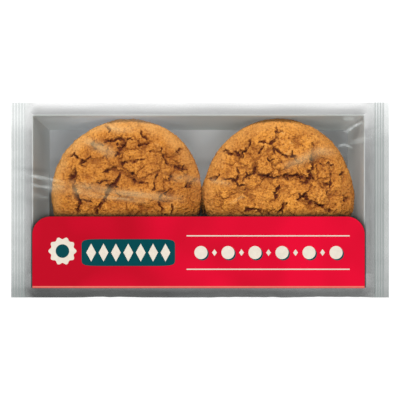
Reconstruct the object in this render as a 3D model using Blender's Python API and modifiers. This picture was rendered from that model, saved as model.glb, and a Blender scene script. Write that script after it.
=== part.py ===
"""A sealed flow-wrapped pack of six flat round buns, with the printed label on its front.

Metres, +Z up. The pack lies on its base with the clear window up. +X runs from end seal to
end seal, +Y points to the back edge, away from the label, and the origin is the middle of the
base. The film, the tray and the two stacks of buns that it shuts in are one closed solid.
"""

import math

import bmesh
import bpy

# What the pack holds: two stacks of flat buns, side by side in a tray
BUN_DIAMETER = 0.080
BUN_THICKNESS = 0.017
BUNS_IN_A_STACK = 3
LEFT_STACK = (-0.0396, 0.0033)  # middle of each stack, seen from above
RIGHT_STACK = (0.0423, 0.0033)

# Tray: a rim round the top, walls that draw in towards a smaller floor
TRAY_MIDDLE = (-0.0008, -0.0003)
RIM_LENGTH = 0.1783
RIM_DEPTH = 0.0931
RIM_HEIGHT = 0.050
FLOOR_LENGTH = 0.1658
FLOOR_DEPTH = 0.0793
FLOOR_THICKNESS = 0.0005

# Film tube: it stands off the tray's long sides and is pressed flat at both ends
PACK_LENGTH = 0.2046
PACK_DEPTH = 0.1056
FILM_CLEARANCE = 0.0004  # film over the rim and over the tops of the buns
SEAL_WIDTH = 0.0074
SEAL_HEIGHT = 0.0250
SEAL_THICKNESS = 0.0006
CRIMP_PITCH = 0.0016  # ridges of the heated jaws, along the pack's ends
CRIMP_DEPTH = 0.0003

# Label: round corners towards the window, square ones along the front rim
LABEL_DEPTH = 0.0381
LABEL_CORNER = 0.0096
LABEL_THICKNESS = 0.0004
LABEL_GAP = 0.0003
LABEL_INSET = 0.0003  # how far it stops short of the rim's ends
LABEL_OVERHANG = 0.0001  # how far it reaches past the rim's front edge

# How finely the solid is divided
TOP_PANELS = 18
SIDE_PANELS = 8
BASE_PANELS = 6
BODY_BAYS = 30
END_BAYS = 4
CRIMP_STEPS = 3  # rings to each ridge
LABEL_COLUMNS = 30
LABEL_CORNER_ROWS = 5
LABEL_STRAIGHT_ROWS = 5

STACK_TOP = FLOOR_THICKNESS + BUNS_IN_A_STACK * BUN_THICKNESS
FILM_TOP = RIM_HEIGHT + FILM_CLEARANCE
BUN_LIFT = STACK_TOP + FILM_CLEARANCE - FILM_TOP  # the buns push the film up by this much


def mix(a, b, share):
    return a + (b - a) * share


def spread(start, end, count):
    """count steps from start towards end, without end."""
    return [mix(start, end, k / count) for k in range(count)]


def film_height(x, y):
    """Height of the top film: flat over the rim, with a low dome over each stack."""
    dome = 0.0
    for middle_x, middle_y in (LEFT_STACK, RIGHT_STACK):
        reach = math.hypot(x - middle_x, y - middle_y) / (BUN_DIAMETER / 2)
        dome += max(0.0, 1.0 - reach * reach) ** 1.5
    return FILM_TOP + BUN_LIFT * dome


def stations():
    """X of each ring of the tube, from the left seal to the right one."""
    seal_root = PACK_LENGTH / 2 - SEAL_WIDTH
    rim_left = TRAY_MIDDLE[0] - RIM_LENGTH / 2
    rim_right = TRAY_MIDDLE[0] + RIM_LENGTH / 2
    floor_left = TRAY_MIDDLE[0] - FLOOR_LENGTH / 2
    floor_right = TRAY_MIDDLE[0] + FLOOR_LENGTH / 2
    seal_bays = round(SEAL_WIDTH / CRIMP_PITCH * CRIMP_STEPS)
    return (
        spread(-PACK_LENGTH / 2, -seal_root, seal_bays)
        + spread(-seal_root, rim_left, END_BAYS)
        + [rim_left]
        + spread(floor_left, floor_right, BODY_BAYS)
        + [floor_right]
        + spread(rim_right, seal_root, END_BAYS)
        + spread(seal_root, PACK_LENGTH / 2, seal_bays)
        + [PACK_LENGTH / 2]
    )


def outline_slots():
    """The points round one ring as (panel, value), anticlockwise seen from +X.

    On the base and top the value is Y. On a side it is the share of the way down from the rim.
    """
    front, back = TRAY_MIDDLE[1] - FLOOR_DEPTH / 2, TRAY_MIDDLE[1] + FLOOR_DEPTH / 2
    rim_front, rim_back = TRAY_MIDDLE[1] - RIM_DEPTH / 2, TRAY_MIDDLE[1] + RIM_DEPTH / 2
    return (
        [("base", y) for y in spread(front, back, BASE_PANELS)]
        + [("back", share) for share in spread(1.0, 0.0, SIDE_PANELS)]
        + [("top", y) for y in spread(rim_back, rim_front, TOP_PANELS)]
        + [("front", share) for share in spread(0.0, 1.0, SIDE_PANELS)]
    )


def side_reach(panel, down):
    """Y of a side film, a given share of the way down: it bellies out to half the pack's depth."""
    sign = 1.0 if panel == "back" else -1.0
    rim = TRAY_MIDDLE[1] + sign * RIM_DEPTH / 2
    floor = TRAY_MIDDLE[1] + sign * FLOOR_DEPTH / 2
    wall = mix(rim, floor, down)
    return mix(wall, sign * PACK_DEPTH / 2, math.sin(math.pi * down))


def pressed(x, down):
    """0 where the tube is open, 1 where it is pressed flat. The top film folds down from the
    rim's end, and the bottom film up from the floor's end."""
    away = abs(x - TRAY_MIDDLE[0])
    start = mix(RIM_LENGTH / 2, FLOOR_LENGTH / 2, down)
    side = math.copysign(1.0, x - TRAY_MIDDLE[0])
    end = PACK_LENGTH / 2 - SEAL_WIDTH - side * TRAY_MIDDLE[0]
    return min(1.0, max(0.0, (away - start) / (end - start)))


def crimp(x):
    """Height of the jaws' ridges at x, which are only on the end seals."""
    into_seal = abs(x) - (PACK_LENGTH / 2 - SEAL_WIDTH)
    if into_seal <= 0.0:
        return 0.0
    return CRIMP_DEPTH * math.sin(2 * math.pi * into_seal / CRIMP_PITCH)


def wrap_point(x, panel, value):
    """Where one point of the tube lies."""
    if panel == "base":
        y, z, down = value, 0.0, 1.0
    elif panel == "top":
        y, z, down = value, film_height(x, value), 0.0
    else:
        y, z, down = side_reach(panel, value), mix(FILM_TOP, 0.0, value), value
    ply = 1.0 if down < 0.5 else -1.0
    thin = 1.0 - abs(y / (PACK_DEPTH / 2)) ** 4
    sealed = SEAL_HEIGHT + ply * SEAL_THICKNESS / 2 * max(0.0, thin) + crimp(x)
    return x, y, mix(z, sealed, pressed(x, down))


def new_object(name, mesh, colour, roughness, collection):
    """A named object in the collection, with a material of its own."""
    material = bpy.data.materials.new(name)
    material.use_nodes = True
    shader = material.node_tree.nodes["Principled BSDF"]
    shader.inputs["Base Color"].default_value = (*colour, 1.0)
    shader.inputs["Roughness"].default_value = roughness
    shader.inputs["Metallic"].default_value = 0.0
    mesh.materials.append(material)
    piece = bpy.data.objects.new(name, mesh)
    collection.objects.link(piece)
    return piece


def make_pack(collection):
    """The film tube: a cylinder whose rings take the pack's section, flat at both ends."""
    rings, slots = stations(), outline_slots()
    form = bmesh.new()
    bmesh.ops.create_cone(
        form, cap_ends=True, segments=len(slots), radius1=1.0, radius2=1.0, depth=2.0
    )
    along = [e for e in form.edges if abs(e.verts[0].co.z - e.verts[1].co.z) > 1.0]
    bmesh.ops.subdivide_edges(form, edges=along, cuts=len(rings) - 2, use_grid_fill=True)
    for corner in form.verts:
        ring = round((corner.co.z + 1.0) / 2.0 * (len(rings) - 1))
        turn = math.atan2(-corner.co.x, corner.co.y)  # the cylinder's first edge is at +Y
        slot = round(turn / (2 * math.pi) * len(slots)) % len(slots)
        corner.co = wrap_point(rings[ring], *slots[slot])
    bmesh.ops.triangulate(form, faces=form.faces[:])
    mesh = bpy.data.meshes.new("sealed_pack")
    form.to_mesh(mesh)
    form.free()
    mesh.shade_smooth()
    mesh.set_sharp_from_angle(angle=math.radians(30.0))
    return new_object("sealed_pack", mesh, (0.62, 0.63, 0.63), 0.25, collection)


def label_rows():
    """(Y, half length) of each row of the label, from the front rim to the window."""
    front = TRAY_MIDDLE[1] - RIM_DEPTH / 2 - LABEL_OVERHANG
    back = front + LABEL_DEPTH
    half = RIM_LENGTH / 2 - LABEL_INSET
    rows = [(y, half) for y in spread(front, back - LABEL_CORNER, LABEL_STRAIGHT_ROWS)]
    for k in range(LABEL_CORNER_ROWS + 1):
        turn = math.pi / 2 * k / LABEL_CORNER_ROWS
        y = back - LABEL_CORNER * (1.0 - math.sin(turn))
        rows.append((y, half - LABEL_CORNER * (1.0 - math.cos(turn))))
    return rows


def make_label(collection):
    """The label: a grid laid over the film, row by row, then given its thickness."""
    rows = label_rows()
    form = bmesh.new()
    bmesh.ops.create_grid(
        form, x_segments=LABEL_COLUMNS, y_segments=len(rows) - 1, size=1.0
    )
    for corner in form.verts:
        row = round((corner.co.y + 1.0) / 2.0 * (len(rows) - 1))
        y, half = rows[row]
        x = TRAY_MIDDLE[0] + half * corner.co.x
        corner.co = (x, y, film_height(x, y) + LABEL_GAP)
    bmesh.ops.triangulate(form, faces=form.faces[:])
    mesh = bpy.data.meshes.new("front_label")
    form.to_mesh(mesh)
    form.free()
    piece = new_object("front_label", mesh, (0.62, 0.01, 0.03), 0.4, collection)
    wall = piece.modifiers.new("paper", "SOLIDIFY")
    wall.thickness = LABEL_THICKNESS
    wall.offset = 1.0
    return piece


def main():
    for old in list(bpy.data.objects):
        bpy.data.objects.remove(old)
    pack = bpy.data.collections.new("bun_pack")
    bpy.context.scene.collection.children.link(pack)
    make_pack(pack)
    make_label(pack)


main()
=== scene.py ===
# A sealed clear pack of six flat coffee buns in a grey tray, with a red label along its front.
# Metres. +X runs along the pack, +Y points to the back edge and +Z up out of the clear window.
import math

import bpy
import numpy as np
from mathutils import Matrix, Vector


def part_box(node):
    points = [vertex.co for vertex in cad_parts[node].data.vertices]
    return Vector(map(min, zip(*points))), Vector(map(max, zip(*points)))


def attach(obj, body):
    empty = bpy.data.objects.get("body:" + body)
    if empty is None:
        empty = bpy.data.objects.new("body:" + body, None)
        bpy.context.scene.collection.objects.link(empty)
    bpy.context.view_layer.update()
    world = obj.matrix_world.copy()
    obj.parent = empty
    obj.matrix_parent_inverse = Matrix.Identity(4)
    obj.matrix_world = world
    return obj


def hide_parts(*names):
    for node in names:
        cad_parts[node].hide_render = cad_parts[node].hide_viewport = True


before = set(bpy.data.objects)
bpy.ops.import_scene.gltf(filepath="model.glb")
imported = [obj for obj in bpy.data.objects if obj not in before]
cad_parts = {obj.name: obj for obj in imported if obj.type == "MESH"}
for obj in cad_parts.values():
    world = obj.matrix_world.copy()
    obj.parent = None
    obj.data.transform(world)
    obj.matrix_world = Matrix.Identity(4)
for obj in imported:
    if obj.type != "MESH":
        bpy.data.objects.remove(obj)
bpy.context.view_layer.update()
packLow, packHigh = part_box("sealed_pack")
labelLow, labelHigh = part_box("front_label")
mm = 0.001

# The pack's driving sizes, as in the solids that these pieces stand in for
pack = {
    "length": packHigh.x - packLow.x,
    "depth": packHigh.y - packLow.y,
    "rimHeight": 50.0 * mm,
    "rimLength": 178.3 * mm,
    "rimDepth": 93.1 * mm,
    "floorLength": 165.8 * mm,
    "floorDepth": 79.3 * mm,
    "trayX": -0.8 * mm,
    "trayY": -0.3 * mm,
    "filmGap": 0.4 * mm,  # film over the rim and over the buns
    "sealWidth": 7.4 * mm,
    "sealHeight": 25.0 * mm,
    "stacks": [(-39.6 * mm, 3.3 * mm), (42.3 * mm, 3.3 * mm)],
    "bunsHigh": 3,
    "bunRadius": 40.0 * mm,
    "bunThickness": 17.0 * mm,
    "trayFloor": 0.5 * mm,
}
pack["filmTop"] = pack["rimHeight"] + pack["filmGap"]
pack["bunLift"] = pack["trayFloor"] + pack["bunsHigh"] * pack["bunThickness"] - pack["rimHeight"]
print("Frame read: pack of %.1f x %.1f mm" % (pack["length"] / mm, pack["depth"] / mm))


def deselectAll():
    if bpy.context.mode != "OBJECT":
        bpy.ops.object.mode_set(mode="OBJECT")
    bpy.ops.object.select_all(action="DESELECT")


def pickAlone(piece):
    deselectAll()
    piece.select_set(True)
    bpy.context.view_layer.objects.active = piece


def readPoints(piece):
    # every vertex as a row of x, y and z
    points = np.empty(len(piece.data.vertices) * 3)
    piece.data.vertices.foreach_get("co", points)
    return points.reshape(-1, 3)


def writePoints(piece, points):
    piece.data.vertices.foreach_set("co", np.ascontiguousarray(points, dtype=np.float32).ravel())
    piece.data.update()


def paint(piece, shares):
    # values from 0 to 1 for each vertex, which the material reads by name
    for name, values in shares.items():
        layer = piece.data.attributes.new(name, "FLOAT", "POINT")
        layer.data.foreach_set("value", np.clip(values, 0, 1).astype(np.float32))


def finishPiece(piece, name, node, material, smoothAngle=40):
    pickAlone(piece)
    bpy.ops.object.transform_apply(location=True, rotation=True, scale=True)
    bpy.ops.object.shade_smooth_by_angle(angle=math.radians(smoothAngle))
    piece.name = name
    piece.data.name = name
    piece.data.materials.clear()
    piece.data.materials.append(material)
    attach(piece, "root")
    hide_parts(node)


def smoothStep(low, high, values):
    share = np.clip((values - low) / (high - low), 0, 1)
    return share * share * (3 - 2 * share)


def mix(start, end, share):
    return start + (end - start) * share


def bell(away, reach):
    # 1 in the middle of a line, falling off on both sides
    return np.exp(-((away / reach) ** 2))


def fadeEnds(along, slope=5.0, least=0.0):
    # full strength along a line, and weaker at its two ends
    return np.clip(slope * along * (1 - along) + least, 0, 1)


def together(first, second):
    # the share of light that two layers take away between them
    return 1 - (1 - first) * (1 - second)


def softNoise(points, lumpSize, seed):
    # smooth noise from about -0.7 to 0.7, with lumps about lumpSize apart
    dice = np.random.default_rng(seed)
    order = dice.permutation(256)
    slopes = dice.normal(size=(256, 3))
    slopes /= np.linalg.norm(slopes, axis=1, keepdims=True)
    cell = points / lumpSize
    corner = np.floor(cell).astype(int)
    inside = cell - corner
    fade = inside**3 * (inside * (inside * 6 - 15) + 10)
    total = np.zeros(len(points))
    for step in np.ndindex(2, 2, 2):
        spot = (corner + step) & 255
        key = order[(order[(order[spot[:, 0]] + spot[:, 1]) & 255] + spot[:, 2]) & 255]
        share = np.prod(np.where(np.array(step, bool), fade, 1 - fade), axis=1)
        total += share * np.sum(slopes[key] * (inside - step), axis=1)
    return total


def crackedPlates(points, plateSize, seed):
    # how far each point lies from the nearest edge between irregular plates, and its plate's height
    dice = np.random.default_rng(seed)
    order = dice.permutation(256)
    offsets = dice.random((256, 3))
    heights = dice.uniform(-1, 1, 256)
    cell = points / plateSize
    corner = np.floor(cell).astype(int)
    first = np.full(len(points), 9.0)
    second = np.full(len(points), 9.0)
    height = np.zeros(len(points))
    for step in np.ndindex(3, 3, 3):
        spot = corner + np.array(step) - 1
        wrapped = spot & 255
        key = order[(order[(order[wrapped[:, 0]] + wrapped[:, 1]) & 255] + wrapped[:, 2]) & 255]
        reach = np.linalg.norm(spot + offsets[key] - cell, axis=1)
        second = np.minimum(second, np.maximum(first, reach))
        height = np.where(reach < first, heights[key], height)
        first = np.minimum(first, reach)
    return (second - first) * plateSize / 2, height


def pathDistance(x, y, path):
    # distance to a line of points, and how far along it the nearest place is, 0 to 1
    path = np.array(path, float)
    steps = np.linalg.norm(np.diff(path, axis=0), axis=1)
    before = np.concatenate([[0], np.cumsum(steps)])
    best = np.full(len(x), 1e9)
    along = np.zeros(len(x))
    for k, step in enumerate(steps):
        run = (path[k + 1] - path[k]) / step
        reach = np.clip((x - path[k, 0]) * run[0] + (y - path[k, 1]) * run[1], 0, step)
        away = np.hypot(x - path[k, 0] - run[0] * reach, y - path[k, 1] - run[1] * reach)
        nearer = away < best
        best = np.where(nearer, away, best)
        along = np.where(nearer, (before[k] + reach) / before[-1], along)
    return best, along


def addGrid(alongX, alongY):
    # a flat grid that reaches from -1 to 1 both ways, and its points
    deselectAll()
    bpy.ops.mesh.primitive_grid_add(x_subdivisions=alongX, y_subdivisions=alongY, size=2)
    return bpy.context.object, readPoints(bpy.context.object)


def addRoundGrid(rings):
    # a grid whose square rings are to be made round: the angle of each point, and its share of the way out
    grid, flat = addGrid(2 * rings, 2 * rings)
    u, v = flat[:, 0], flat[:, 1]
    across = np.abs(u) >= np.abs(v)
    longer = np.where(across, u, v)
    lean = math.pi / 4 * np.where(across, v, u) / np.where(longer == 0, 1, longer)
    angle = np.where(across, lean, math.pi / 2 - lean) + np.where(longer < 0, math.pi, 0)
    return grid, angle, np.abs(longer)


def rollTube(rings, slots, place):
    # a flat grid is rolled up and its ends are filled. For each ring and slot, place gives the point
    # and the values to paint there.
    tube, flat = addGrid(rings - 1, slots)
    ring = np.rint((flat[:, 0] + 1) / 2 * (rings - 1)).astype(int)
    slot = np.rint((flat[:, 1] + 1) / 2 * slots).astype(int) % slots
    points, shares = place(ring, slot)
    writePoints(tube, points)
    paint(tube, shares)
    bpy.ops.object.mode_set(mode="EDIT")
    bpy.ops.mesh.select_all(action="SELECT")
    bpy.ops.mesh.remove_doubles(threshold=0.0001 * mm)
    bpy.ops.mesh.select_all(action="DESELECT")
    bpy.ops.mesh.select_mode(type="EDGE")
    bpy.ops.mesh.select_non_manifold(extend=False)
    bpy.ops.mesh.fill_holes(sides=0)
    bpy.ops.mesh.select_mode(type="FACE")
    bpy.ops.object.mode_set(mode="OBJECT")
    return tube


def thicken(sheet, thickness):
    # a sheet that was just added gets its thickness downwards
    wall = sheet.modifiers.new("thickness", "SOLIDIFY")
    wall.thickness = thickness
    wall.offset = -1.0
    bpy.ops.object.modifier_apply(modifier="thickness")


def linearColour(code):
    # sRGB hex to the linear values that a shader takes
    parts = [int(code[k : k + 2], 16) / 255 for k in (1, 3, 5)]
    return tuple(p / 12.92 if p <= 0.04045 else ((p + 0.055) / 1.055) ** 2.4 for p in parts) + (1,)


def startMaterial(name):
    material = bpy.data.materials.new(name)
    material.use_nodes = True
    material.node_tree.nodes.clear()
    return material, material.node_tree


def addNode(tree, kind, sockets=None, **settings):
    # a Mix node's colours are sockets 6 and 7, its factor is 0 and its colour comes out at 2
    node = tree.nodes.new(kind)
    for name, value in settings.items():
        setattr(node, name, value)
    for name, value in (sockets or {}).items():
        if isinstance(value, bpy.types.NodeSocket):
            tree.links.new(value, node.inputs[name])
        else:
            node.inputs[name].default_value = value
    return node


# Camera: straight down on the pack, with the back edge at the top of the picture
view = {
    "distance": 1.6,  # above the rim
    "widthSeen": 213.3 * mm,  # at the rim's height
    "sensor": 36.0,
}
bpy.ops.object.camera_add(location=(0, 0, pack["rimHeight"] + view["distance"]), rotation=(0, 0, 0))
camera = bpy.context.object
camera.name = "topCamera"
camera.data.sensor_width = view["sensor"]
camera.data.lens = view["sensor"] * view["distance"] / view["widthSeen"]
bpy.context.scene.camera = camera

# Studio: a white table, a soft light from the back and a weaker one overhead, towards the front
studio = {
    "floorSize": 6.0,
    "floorLevel": -0.3 * mm,
    "floorColour": "#8c8c8c",
    "floorGlow": 0.87,
    "lamps": {
        "key": {"place": (-0.06, 0.70, 1.08), "size": 0.24, "power": 12.4, "mirrored": True},
        "overhead": {"place": (-0.02, -0.40, 1.25), "size": 0.35, "power": 4.6, "mirrored": False},
    },
    "airColour": "#ffffff",
    "airStrength": 0.36,
}


def makeStudio():
    deselectAll()
    bpy.ops.mesh.primitive_plane_add(size=studio["floorSize"], location=(0, 0, studio["floorLevel"]))
    floor = bpy.context.object
    floor.name = "tableTop"
    # melamine, matt and evenly white
    material, tree = startMaterial("white melamine table")
    shader = addNode(tree, "ShaderNodeBsdfPrincipled", {
        "Base Color": linearColour(studio["floorColour"]),
        "Roughness": 0.9,
        "Specular IOR Level": 0.0,
        "Emission Color": (1, 1, 1, 1),
        "Emission Strength": studio["floorGlow"],
    })
    addNode(tree, "ShaderNodeOutputMaterial", {"Surface": shader.outputs[0]})
    floor.data.materials.append(material)
    for name, setting in studio["lamps"].items():
        place = Vector(setting["place"])
        bpy.ops.object.light_add(type="AREA", location=place)
        lamp = bpy.context.object
        lamp.name = name + "Softbox"
        lamp.data.size = setting["size"]
        lamp.data.energy = setting["power"]
        lamp.rotation_euler = (-place).to_track_quat("-Z", "Y").to_euler()
        lamp.visible_camera = False
        lamp.visible_glossy = setting["mirrored"]
    world = bpy.data.worlds.new("studio air")
    bpy.context.scene.world = world
    world.use_nodes = True
    background = world.node_tree.nodes["Background"]
    background.inputs["Color"].default_value = linearColour(studio["airColour"])
    background.inputs["Strength"].default_value = studio["airStrength"]
    bpy.context.scene.view_settings.view_transform = "Standard"


makeStudio()
print("Studio set")

# Crust: wheat dough baked golden brown. It is matt and grainy, dark where it split, paler on the
# smooth shoulder and dark brown underneath.
crust = {
    "golden": "#e3973a",
    "brown": "#ce8432",
    "toasted": "#6a2e0c",
    "pale": "#edb167",
    "toastAndShadeBrown": "#955116",
    "split": "#561c08",
    "under": "#84461b",
    "roughness": 0.72,
    "shine": 0.15,
    "noises": {  # size, detail and roughness
        "tones": (9.0 * mm, 3.0, 0.55),
        "specks": (1.05 * mm, 4.0, 0.65),
        "grain": (1.15 * mm, 3.0, 0.6),
    },
    "grainHeight": 0.75 * mm,
    # over brown: what each layer reads, the values where it starts and is full, its share and colour
    "layers": [
        ("tones", 0.36, 0.64, 1.0, "golden"),
        ("specks", 0.51, 0.63, 0.68, "toasted"),
        ("specks", 0.46, 0.34, 0.45, "pale"),
        # painted light: the shoulder towards the light is paler, partly its own pale crust
        ("shoulder", 0.0, 1.0, 1.0, "pale"),
        # painted shade on the edge away from the light, together with each bun's own toast
        ("toastAndEdgeShade", 0.0, 1.0, 1.0, "toastAndShadeBrown"),
        # painted relief shading: paler on raised crust, darker in its hollows
        ("hollow", 0.40, 0.15, 0.55, "pale"),
        ("hollow", 0.62, 1.0, 0.60, "toastAndShadeBrown"),
        ("hairCrack", 0.0, 1.0, 0.62, "toasted"),
        ("fissure", 0.0, 1.0, 1.0, "split"),
        ("underside", 0.0, 1.0, 1.0, "under"),
    ],
}


def crustMaterial():
    material, tree = startMaterial("baked wheat crust")
    where = addNode(tree, "ShaderNodeTexCoord").outputs["Object"]
    sources = {}
    for name in ("fissure", "hairCrack", "hollow", "shoulder", "toastAndEdgeShade", "underside"):
        sources[name] = addNode(tree, "ShaderNodeAttribute", attribute_name=name).outputs["Fac"]
    for name, (size, detail, roughness) in crust["noises"].items():
        noise = addNode(tree, "ShaderNodeTexNoise", {
            "Vector": where, "Scale": 1 / size, "Detail": detail, "Roughness": roughness,
        })
        sources[name] = noise.outputs["Fac"]
    colour = linearColour(crust["brown"])
    for source, start, full, most, tint in crust["layers"]:
        share = addNode(tree, "ShaderNodeMapRange", {
            "Value": sources[source], "From Min": start, "From Max": full, "To Max": most,
        })
        layer = addNode(tree, "ShaderNodeMix", {
            0: share.outputs[0], 6: colour, 7: linearColour(crust[tint]),
        }, data_type="RGBA")
        colour = layer.outputs[2]
    bump = addNode(tree, "ShaderNodeBump", {
        "Height": sources["grain"], "Distance": crust["grainHeight"], "Strength": 1.0,
    })
    shader = addNode(tree, "ShaderNodeBsdfPrincipled", {
        "Base Color": colour,
        "Roughness": crust["roughness"],
        "Specular IOR Level": crust["shine"],
        "Normal": bump.outputs[0],
    })
    addNode(tree, "ShaderNodeOutputMaterial", {"Surface": shader.outputs[0]})
    return material


# Buns: flat and round, with a smooth shoulder and a top that split into plates as it baked
bunForm = {
    "radius": 40.1 * mm,
    "thickness": 16.6 * mm,
    "equator": 6.8 * mm,  # height of the widest ring
    "topRoundness": 3.2,
    "underRoundness": 3.6,
    "baseRadius": 31.0 * mm,
    "profilePoints": 4001,
    "gapUnder": 0.05 * mm,
    "topRings": 156,  # rings of the two upper buns, whose tops show
    "lowerRings": 70,
    "shoulderAt": 0.95,  # share of the radius where the shoulder turns down
    "ringsOnTop": 0.79,  # share of the rings inside it
    "edgeWander": (0.5 * mm, 0.7),  # how far, and the size of its waves where the radius is 1
    "shoves": [(4.0, 1.1), (1.7, 1.0), (0.8, 0.35)],  # size and reach in mm
    "plateShove": 1.6,  # how much further the plates' edges are shoved than the fissures
    "broadLumps": 22 * mm,
    "broadRise": 0.35 * mm,
    "bumps": (4.4 * mm, 0.4),  # size, and the share of them on the smooth shoulder
    "bumpRise": 1.00 * mm,
    "crumb": 0.30 * mm,
    "crumbOutside": 0.9,  # share of it on the smooth shoulder
    "crumbTorn": 0.6,  # how much more of it there is beside a fissure
    "crumbSizes": [(3.0, 0.38), (1.5, 0.42), (0.9, 0.40)],  # size in mm and share of the height
    "crumbLevel": 0.22,  # the noise gives level ground where it is this far from 0
    "plates": [(9.5, 0.30, 0.55, 1.0), (4.8, 0.20, 0.36, 0.35)],  # size, step, half gap, strength
    "platePatches": (1.3, -0.20, 0.06),  # size to that of the plates, and the noise where they come in
    "plateRise": 0.80 * mm,
    "plateSlope": 0.19,  # width of its sloping edge, as a share of its size
    "stepWidth": 0.5 * mm,
    "wrinkles": [(7.0, 0.40, 0.7), (3.4, 0.30, 0.30)],  # size, half width, strength
    "wrinklePatches": (1.7, -0.10, 0.14),
    "hairDepth": 0.70 * mm,
    "hairOutside": 0.45,  # share of the fine cracks and pits that is left on the smooth shoulder
    "pits": (1.5 * mm, 0.25, 0.37),  # size, and the noise where they begin and are full
    "pitDepth": 0.50 * mm,
    "pitDark": 0.9,
    "tornDepth": 0.50 * mm,  # the ground sinks a little on both sides of a fissure
    "lip": 0.22 * mm,  # how far the edges of a fissure curl up
    "highest": 0.30 * mm,  # how far relief may stand above the smooth form
    "sunk": 0.25 * mm,  # how far the cracked top lies below the smooth form
    "facingUp": (0.0, 0.3),  # cracks come in as the crust turns upward
    "crackedRadius": 37.5 * mm,
    "crackedFade": (4 * mm, -3 * mm),
    "smoothWidth": 6.0 * mm,  # how much wider the smooth shoulder is on the side towards the light
    # the side the light comes from, where the shoulder is painted paler, partly its own pale crust
    "litSide": math.radians(115),
    "paleFrom": (32 * mm, 39 * mm),
    "paleBlotches": (7 * mm, 4 * mm),  # size, and how far they shift the pale edge
    # painted shade on the edge away from the light, and the radii where it comes in
    "edgeShade": 0.60,
    "edgeShadeFrom": (27 * mm, 38 * mm),
    "underFrom": (5.0 * mm, 1.5 * mm),  # heights between which the underside's colour comes in
    # painted relief shading: how much each kind of relief adds to it; raised crumb, lumps and lips come out
    # paler, sunk plate edges and torn ground darker
    "hollows": {"crumb": -0.26, "lumps": -0.6, "plates": 0.25, "torn": 0.20, "lip": -0.30},
}

# How a fissure is shaped. Sizes are in mm, and each one's own width is given with its points below.
fissureForm = {
    "endSlope": 5.5,
    "endWidth": 0.30,  # share of the width that is left at its ends
    "half": 0.74,  # half of it, for each mm of width
    "ragged": 1.8,
    "raggedSize": 1.4,
    "narrowest": 0.25,
    "depth": 0.60,
    "depthToWidth": 0.60,
    "wallShare": 0.9,
    "wallBeside": 0.1,  # how far its wall reaches past its half
    "scorched": (1.3, 0.35),  # how wide it is dark, to its half and beside that
    "torn": (0.6, 0.8),  # how far the ground is torn, beside it and to its width
    "lip": (0.55, 0.45),  # how far off the lip is, and how wide
    "filled": (2.2, -0.25, 0.05),  # size of the crumbs that fill it, and the noise over which they end
    "shallow": 0.45,  # share of the depth that is left there
    "branchEvery": 6.0,  # to each side crack
    "branchTurn": (0.7, 1.6),
    "branchBend": 0.9,
    "branchLength": (1.2, 3.6),
    "branchWidth": (0.35, 0.7),  # to the width of the fissure that it leaves
}

# Each fissure is its width and its points, in mm from the bun's middle
leftFissures = [
    (0.9, [(-30.5, 20.5), (-28, 21), (-25.5, 19)]),
    (0.6, [(-25.5, 16), (-23, 17.5), (-18.5, 19.5)]),
    (2.2, [(-27.5, 13.5), (-29, 9), (-28.5, 5)]),
    (1.6, [(-28.5, 5), (-26, -1), (-24.5, -4), (-26.5, -11)]),
    (0.9, [(-11.5, 28), (-6, 29), (-4, 30), (0, 29), (2.5, 30.5)]),
    (1.4, [(0, 29), (-2.5, 24), (-5.5, 20)]),
    (0.9, [(-19, 27), (-16, 26.5), (-12.5, 27)]),
    (0.6, [(7, 26), (10, 27), (12, 27.5)]),
    (0.8, [(13, 23), (18.5, 22.5), (19.5, 25)]),
    (0.8, [(19, 23), (20.5, 20), (23, 15.5)]),
    (1.1, [(24, 15), (28, 14.5), (33, 13)]),
    (0.8, [(27, 22.5), (30.5, 24.5)]),
    (1.0, [(-12, 11.5), (-9, 13), (-5, 14)]),
    (1.6, [(-2.5, 15.8), (-0.5, 16.6)]),
    (0.7, [(-1, 16.5), (5, 17.5), (10, 19)]),
    (1.6, [(-3, 11), (-5, 6.5), (-9, 2.5), (-11.5, -4), (-16.5, -8)]),
    (1.4, [(3, 11.2), (4, 10)]),
    (0.7, [(4, 8.5), (5, 6), (9.5, 6.5)]),
    (0.7, [(17.5, 12), (15, 7), (15, 1.5)]),
    (0.7, [(24, 10.5), (23.5, 7)]),
    (1.3, [(31.5, 3.5), (36, 6), (38.5, 8)]),
    (0.9, [(25, -6), (24.5, -11)]),
    (0.6, [(-15, 5.5), (-9.5, 7.5)]),
    (0.5, [(-27, -3.5), (-19, -3.5)]),
    (0.5, [(18, -2), (21, 1), (25, 3)]),
    (0.6, [(8, 34), (9, 31.5), (12, 29.5)]),
    (0.5, [(-11, 37), (-8.5, 35.5), (-9, 33)]),
    (0.8, [(18, -4.5), (20, -8), (19, -12)]),
]
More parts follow.
